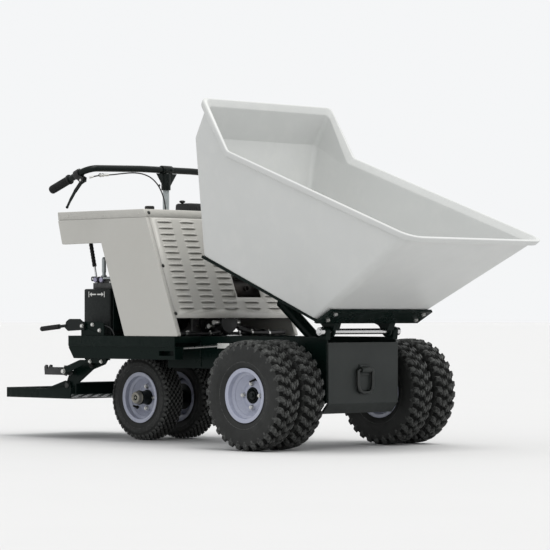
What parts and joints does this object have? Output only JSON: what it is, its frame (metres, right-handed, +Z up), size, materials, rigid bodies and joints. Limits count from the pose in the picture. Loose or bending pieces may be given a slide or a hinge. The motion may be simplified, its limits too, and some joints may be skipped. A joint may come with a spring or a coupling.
{
  "type": "power wheelbarrow",
  "caption": "Ride-on power wheelbarrow: dumping off-white tub on a dual-wheel front axle, louvred engine hood, handlebar steering and a folding operator platform.",
  "frame": {"origin": "ground level under the centre of the bounding box", "axes": "+X forward over the dumping end, +Y to the left, +Z up"},
  "size_m": [2.675, 1.096, 1.5079],
  "materials": {
    "frame_paint": "semi-gloss dark green-black enamel",
    "bumper_paint": "satin dark grey enamel",
    "hood_paint": "satin warm light grey enamel",
    "tub_poly": "off-white rotomoulded polyethylene",
    "tyre_rubber": "matte",
    "rim_paint": "gloss light lavender grey enamel",
    "hub_black": "satin",
    "steel": "bright",
    "zinc": "zinc plated",
    "castings": "painted",
    "engine_metal": "cast",
    "black_plastic": "textured",
    "grip_rubber": "matte",
    "hose_rubber": "satin",
    "column_paint": "light grey"
  },
  "bodies": {
    "chassis": {"rear_deck": "frame_paint", "column_bearing": "castings", "main_frame": "frame_paint", "bumper_plate": "bumper_paint", "drive_motors": "castings", "pivot_bearings": "frame_paint", "belly_manifold": "engine_metal", "hoses": "hose_rubber", "hood_lid": "hood_paint", "hood_sides": "hood_paint", "hood_front": "hood_paint", "hood_bulkhead": "frame_paint", "frame_bolts": "zinc", "engine_block": "engine_metal", "engine_shroud": "black_plastic", "muffler": "castings", "fuel_tank": "black_plastic", "filler_caps": "black_plastic", "air_cleaner": "black_plastic", "hydraulic_pump": "castings", "hydraulic_tank": "frame_paint", "control_valve": "castings", "brake_bracket": "frame_paint", "platform_mount": "frame_paint", "pedal_arm": "frame_paint"},
    "tub": {"tub": "tub_poly", "tub_frame": "frame_paint", "tub_bolts": "zinc", "pivot_shaft": "steel"},
    "cylinder_rod": {"cylinder_rod": "steel"},
    "cylinder_barrel": {"cylinder_barrel": "frame_paint"},
    "steering": {"rear_truck": "frame_paint", "steering_column": "column_paint", "bar_bracket": "frame_paint", "handlebar": "hub_black", "grips": "grip_rubber", "lever_perches": "black_plastic", "control_cable": "hose_rubber"},
    "hand_lever_right": {"hand_lever_right": "hub_black"},
    "hand_lever_left": {"hand_lever_left": "hub_black"},
    "rear_wheel_right": {"rear_rim_right": "rim_paint", "rear_tyre_right": "tyre_rubber", "rear_hub_right": "hub_black"},
    "rear_wheel_left": {"rear_rim_left": "rim_paint", "rear_tyre_left": "tyre_rubber", "rear_hub_left": "hub_black"},
    "front_wheels_right": {"front_rims_right": "rim_paint", "front_tyres_right": "tyre_rubber", "front_hub_right": "hub_black"},
    "front_wheels_left": {"front_rims_left": "rim_paint", "front_tyres_left": "tyre_rubber", "front_hub_left": "hub_black"},
    "tow_ring": {"tow_ring": "steel"},
    "dump_lever": {"dump_lever": "steel", "dump_lever_grip": "grip_rubber"},
    "brake_lever": {"brake_lever": "hub_black", "brake_grip": "grip_rubber"},
    "brake_rod": {"brake_rod": "zinc"},
    "platform": {"platform": "frame_paint"},
    "foot_pedal": {"foot_pedal": "castings"}
  },
  "joints": [
    {"name": "tub_dump", "type": "hinge", "parent": "chassis", "child": "tub", "pos_m": [0.6676, 0, 0.5], "axis": [0, 1, 0], "range_deg": [-21.9, 46]},
    {"name": "rod_swing", "type": "hinge", "parent": "tub", "child": "cylinder_rod", "pos_m": [0.101, 0, 0.711], "axis": [0, 1, 0], "range_deg": [-3.2, 1.8]},
    {"name": "cylinder_stroke", "type": "slide", "parent": "cylinder_rod", "child": "cylinder_barrel", "axis": [0.78, 0, -0.6258], "range_m": [-0.07, 0.145]},
    {"name": "steer", "type": "hinge", "parent": "chassis", "child": "steering", "pos_m": [-0.548, 0, 0.48], "axis": [0, 0, 1], "range_deg": [-32, 32]},
    {"name": "hand_lever_right_pull", "type": "hinge", "parent": "steering", "child": "hand_lever_right", "pos_m": [-0.586, -0.472, 1.174], "axis": [0, 1, 0], "range_deg": [0, 20], "stiffness_Nm_per_rad": 2, "springref_deg": -17.19},
    {"name": "hand_lever_left_pull", "type": "hinge", "parent": "steering", "child": "hand_lever_left", "pos_m": [-0.586, 0.472, 1.174], "axis": [0, 1, 0], "range_deg": [0, 20], "stiffness_Nm_per_rad": 2, "springref_deg": -17.19},
    {"name": "rear_wheel_right_roll", "type": "hinge", "parent": "steering", "child": "rear_wheel_right", "pos_m": [-0.548, -0.115, 0.194], "axis": [0, 1, 0], "continuous": true},
    {"name": "rear_wheel_left_roll", "type": "hinge", "parent": "steering", "child": "rear_wheel_left", "pos_m": [-0.548, 0.115, 0.194], "axis": [0, 1, 0], "continuous": true},
    {"name": "front_wheels_right_roll", "type": "hinge", "parent": "chassis", "child": "front_wheels_right", "pos_m": [0.514, -0.414, 0.233], "axis": [0, 1, 0], "continuous": true},
    {"name": "front_wheels_left_roll", "type": "hinge", "parent": "chassis", "child": "front_wheels_left", "pos_m": [0.514, 0.414, 0.233], "axis": [0, 1, 0], "continuous": true},
    {"name": "tow_ring_swing", "type": "hinge", "parent": "chassis", "child": "tow_ring", "pos_m": [0.7045, 0, 0.336], "axis": [0, -1, 0], "range_deg": [0, 100]},
    {"name": "dump_lever_push", "type": "hinge", "parent": "chassis", "child": "dump_lever", "pos_m": [-0.745, -0.25, 0.735], "axis": [0, 1, 0], "range_deg": [-12, 12], "stiffness_Nm_per_rad": 25},
    {"name": "brake_lever_pull", "type": "hinge", "parent": "chassis", "child": "brake_lever", "pos_m": [-0.7, -0.37, 0.52], "axis": [0, 1, 0], "range_deg": [0, 35]},
    {"name": "brake_rod_slide", "type": "slide", "parent": "chassis", "child": "brake_rod", "axis": [-1, 0, 0], "range_m": [0, 0.016]},
    {"name": "platform_fold", "type": "hinge", "parent": "chassis", "child": "platform", "pos_m": [-0.887, 0, 0.247], "axis": [0, 1, 0], "range_deg": [0, 85]},
    {"name": "foot_pedal_press", "type": "hinge", "parent": "chassis", "child": "foot_pedal", "pos_m": [-0.852, -0.331, 0.312], "axis": [0, -1, 0], "range_deg": [0, 12], "stiffness_Nm_per_rad": 25, "springref_deg": -11.46}
  ],
  "couplings": [
    {"joint": "rod_swing", "follows": "tub_dump", "ratio": -0.0621},
    {"joint": "cylinder_stroke", "follows": "tub_dump", "m_per_rad": 0.1778},
    {"joint": "brake_rod_slide", "follows": "brake_lever_pull", "m_per_rad": 0.025}
  ]
}
